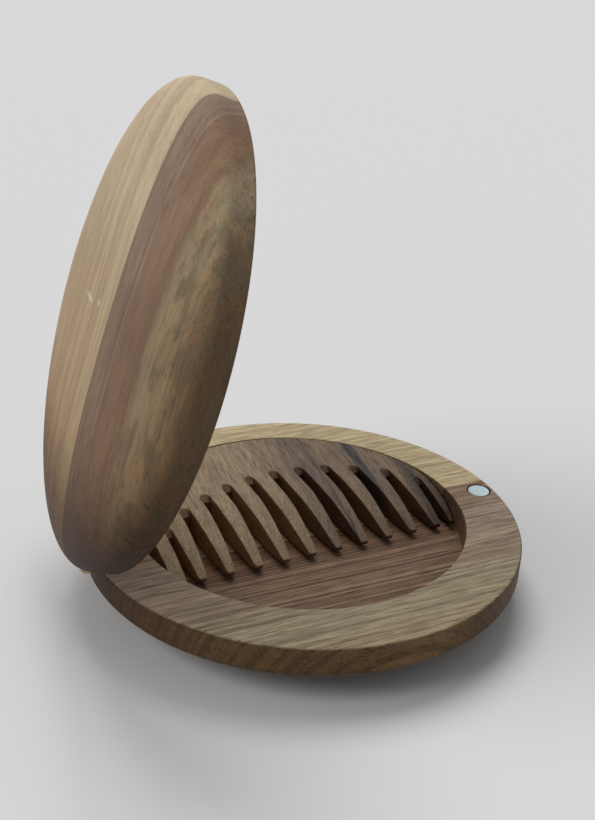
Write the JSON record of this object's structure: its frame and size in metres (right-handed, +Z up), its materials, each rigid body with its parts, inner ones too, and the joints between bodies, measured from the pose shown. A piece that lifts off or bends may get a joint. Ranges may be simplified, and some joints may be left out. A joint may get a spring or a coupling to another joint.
{
  "type": "wooden folding mirror with comb",
  "caption": "Round wooden pocket mirror that folds on a brass hinge: a domed lid holds the glass, and a recessed base holds a half-moon comb.",
  "frame": {"origin": "middle of the round flat that the base stands on", "axes": "+Z up out of the base, +X from the hinge towards the magnets, Y along the hinge pin"},
  "size_m": [0.1022, 0.095, 0.1062],
  "materials": {
    "base_wood": "satin oiled two-tone hardwood, pale sapwood at the back, grey-brown heartwood in front",
    "lid_wood": "satin oiled hardwood with a pale sapwood band, pinkish-brown heartwood and olive mottling",
    "comb_wood": "sanded grey-brown hardwood with dark streaks, grain along the teeth",
    "mirror": "silvered float glass",
    "foam": "white closed-cell foam tape",
    "nickel": "nickel-plated, softly worn",
    "brass": "plain rolled brass, lightly brushed",
    "steel": "drawn steel wire"
  },
  "bodies": {
    "base": {"base_shell": "base_wood", "base_magnet": "nickel", "hinge_base_leaf": "brass", "hinge_pin": "steel", "base_leaf_screw_1": "brass", "base_leaf_screw_2": "brass"},
    "lid": {"lid_shell": "lid_wood", "lid_magnet": "nickel", "mirror_glass": "mirror", "mirror_pad": "foam", "hinge_lid_leaf": "brass", "lid_leaf_screw_1": "brass", "lid_leaf_screw_2": "brass"},
    "comb": {"comb": "comb_wood"}
  },
  "joints": [
    {"name": "lid_hinge", "type": "hinge", "parent": "base", "child": "lid", "pos_m": [-0.04883, 0, 0.01305], "axis": [0, -1, 0], "range_deg": [-72.4, 107.6]},
    {"name": "comb_lift", "type": "slide", "parent": "base", "child": "comb", "axis": [0, 0, 1], "range_m": [0, 0.025]}
  ]
}
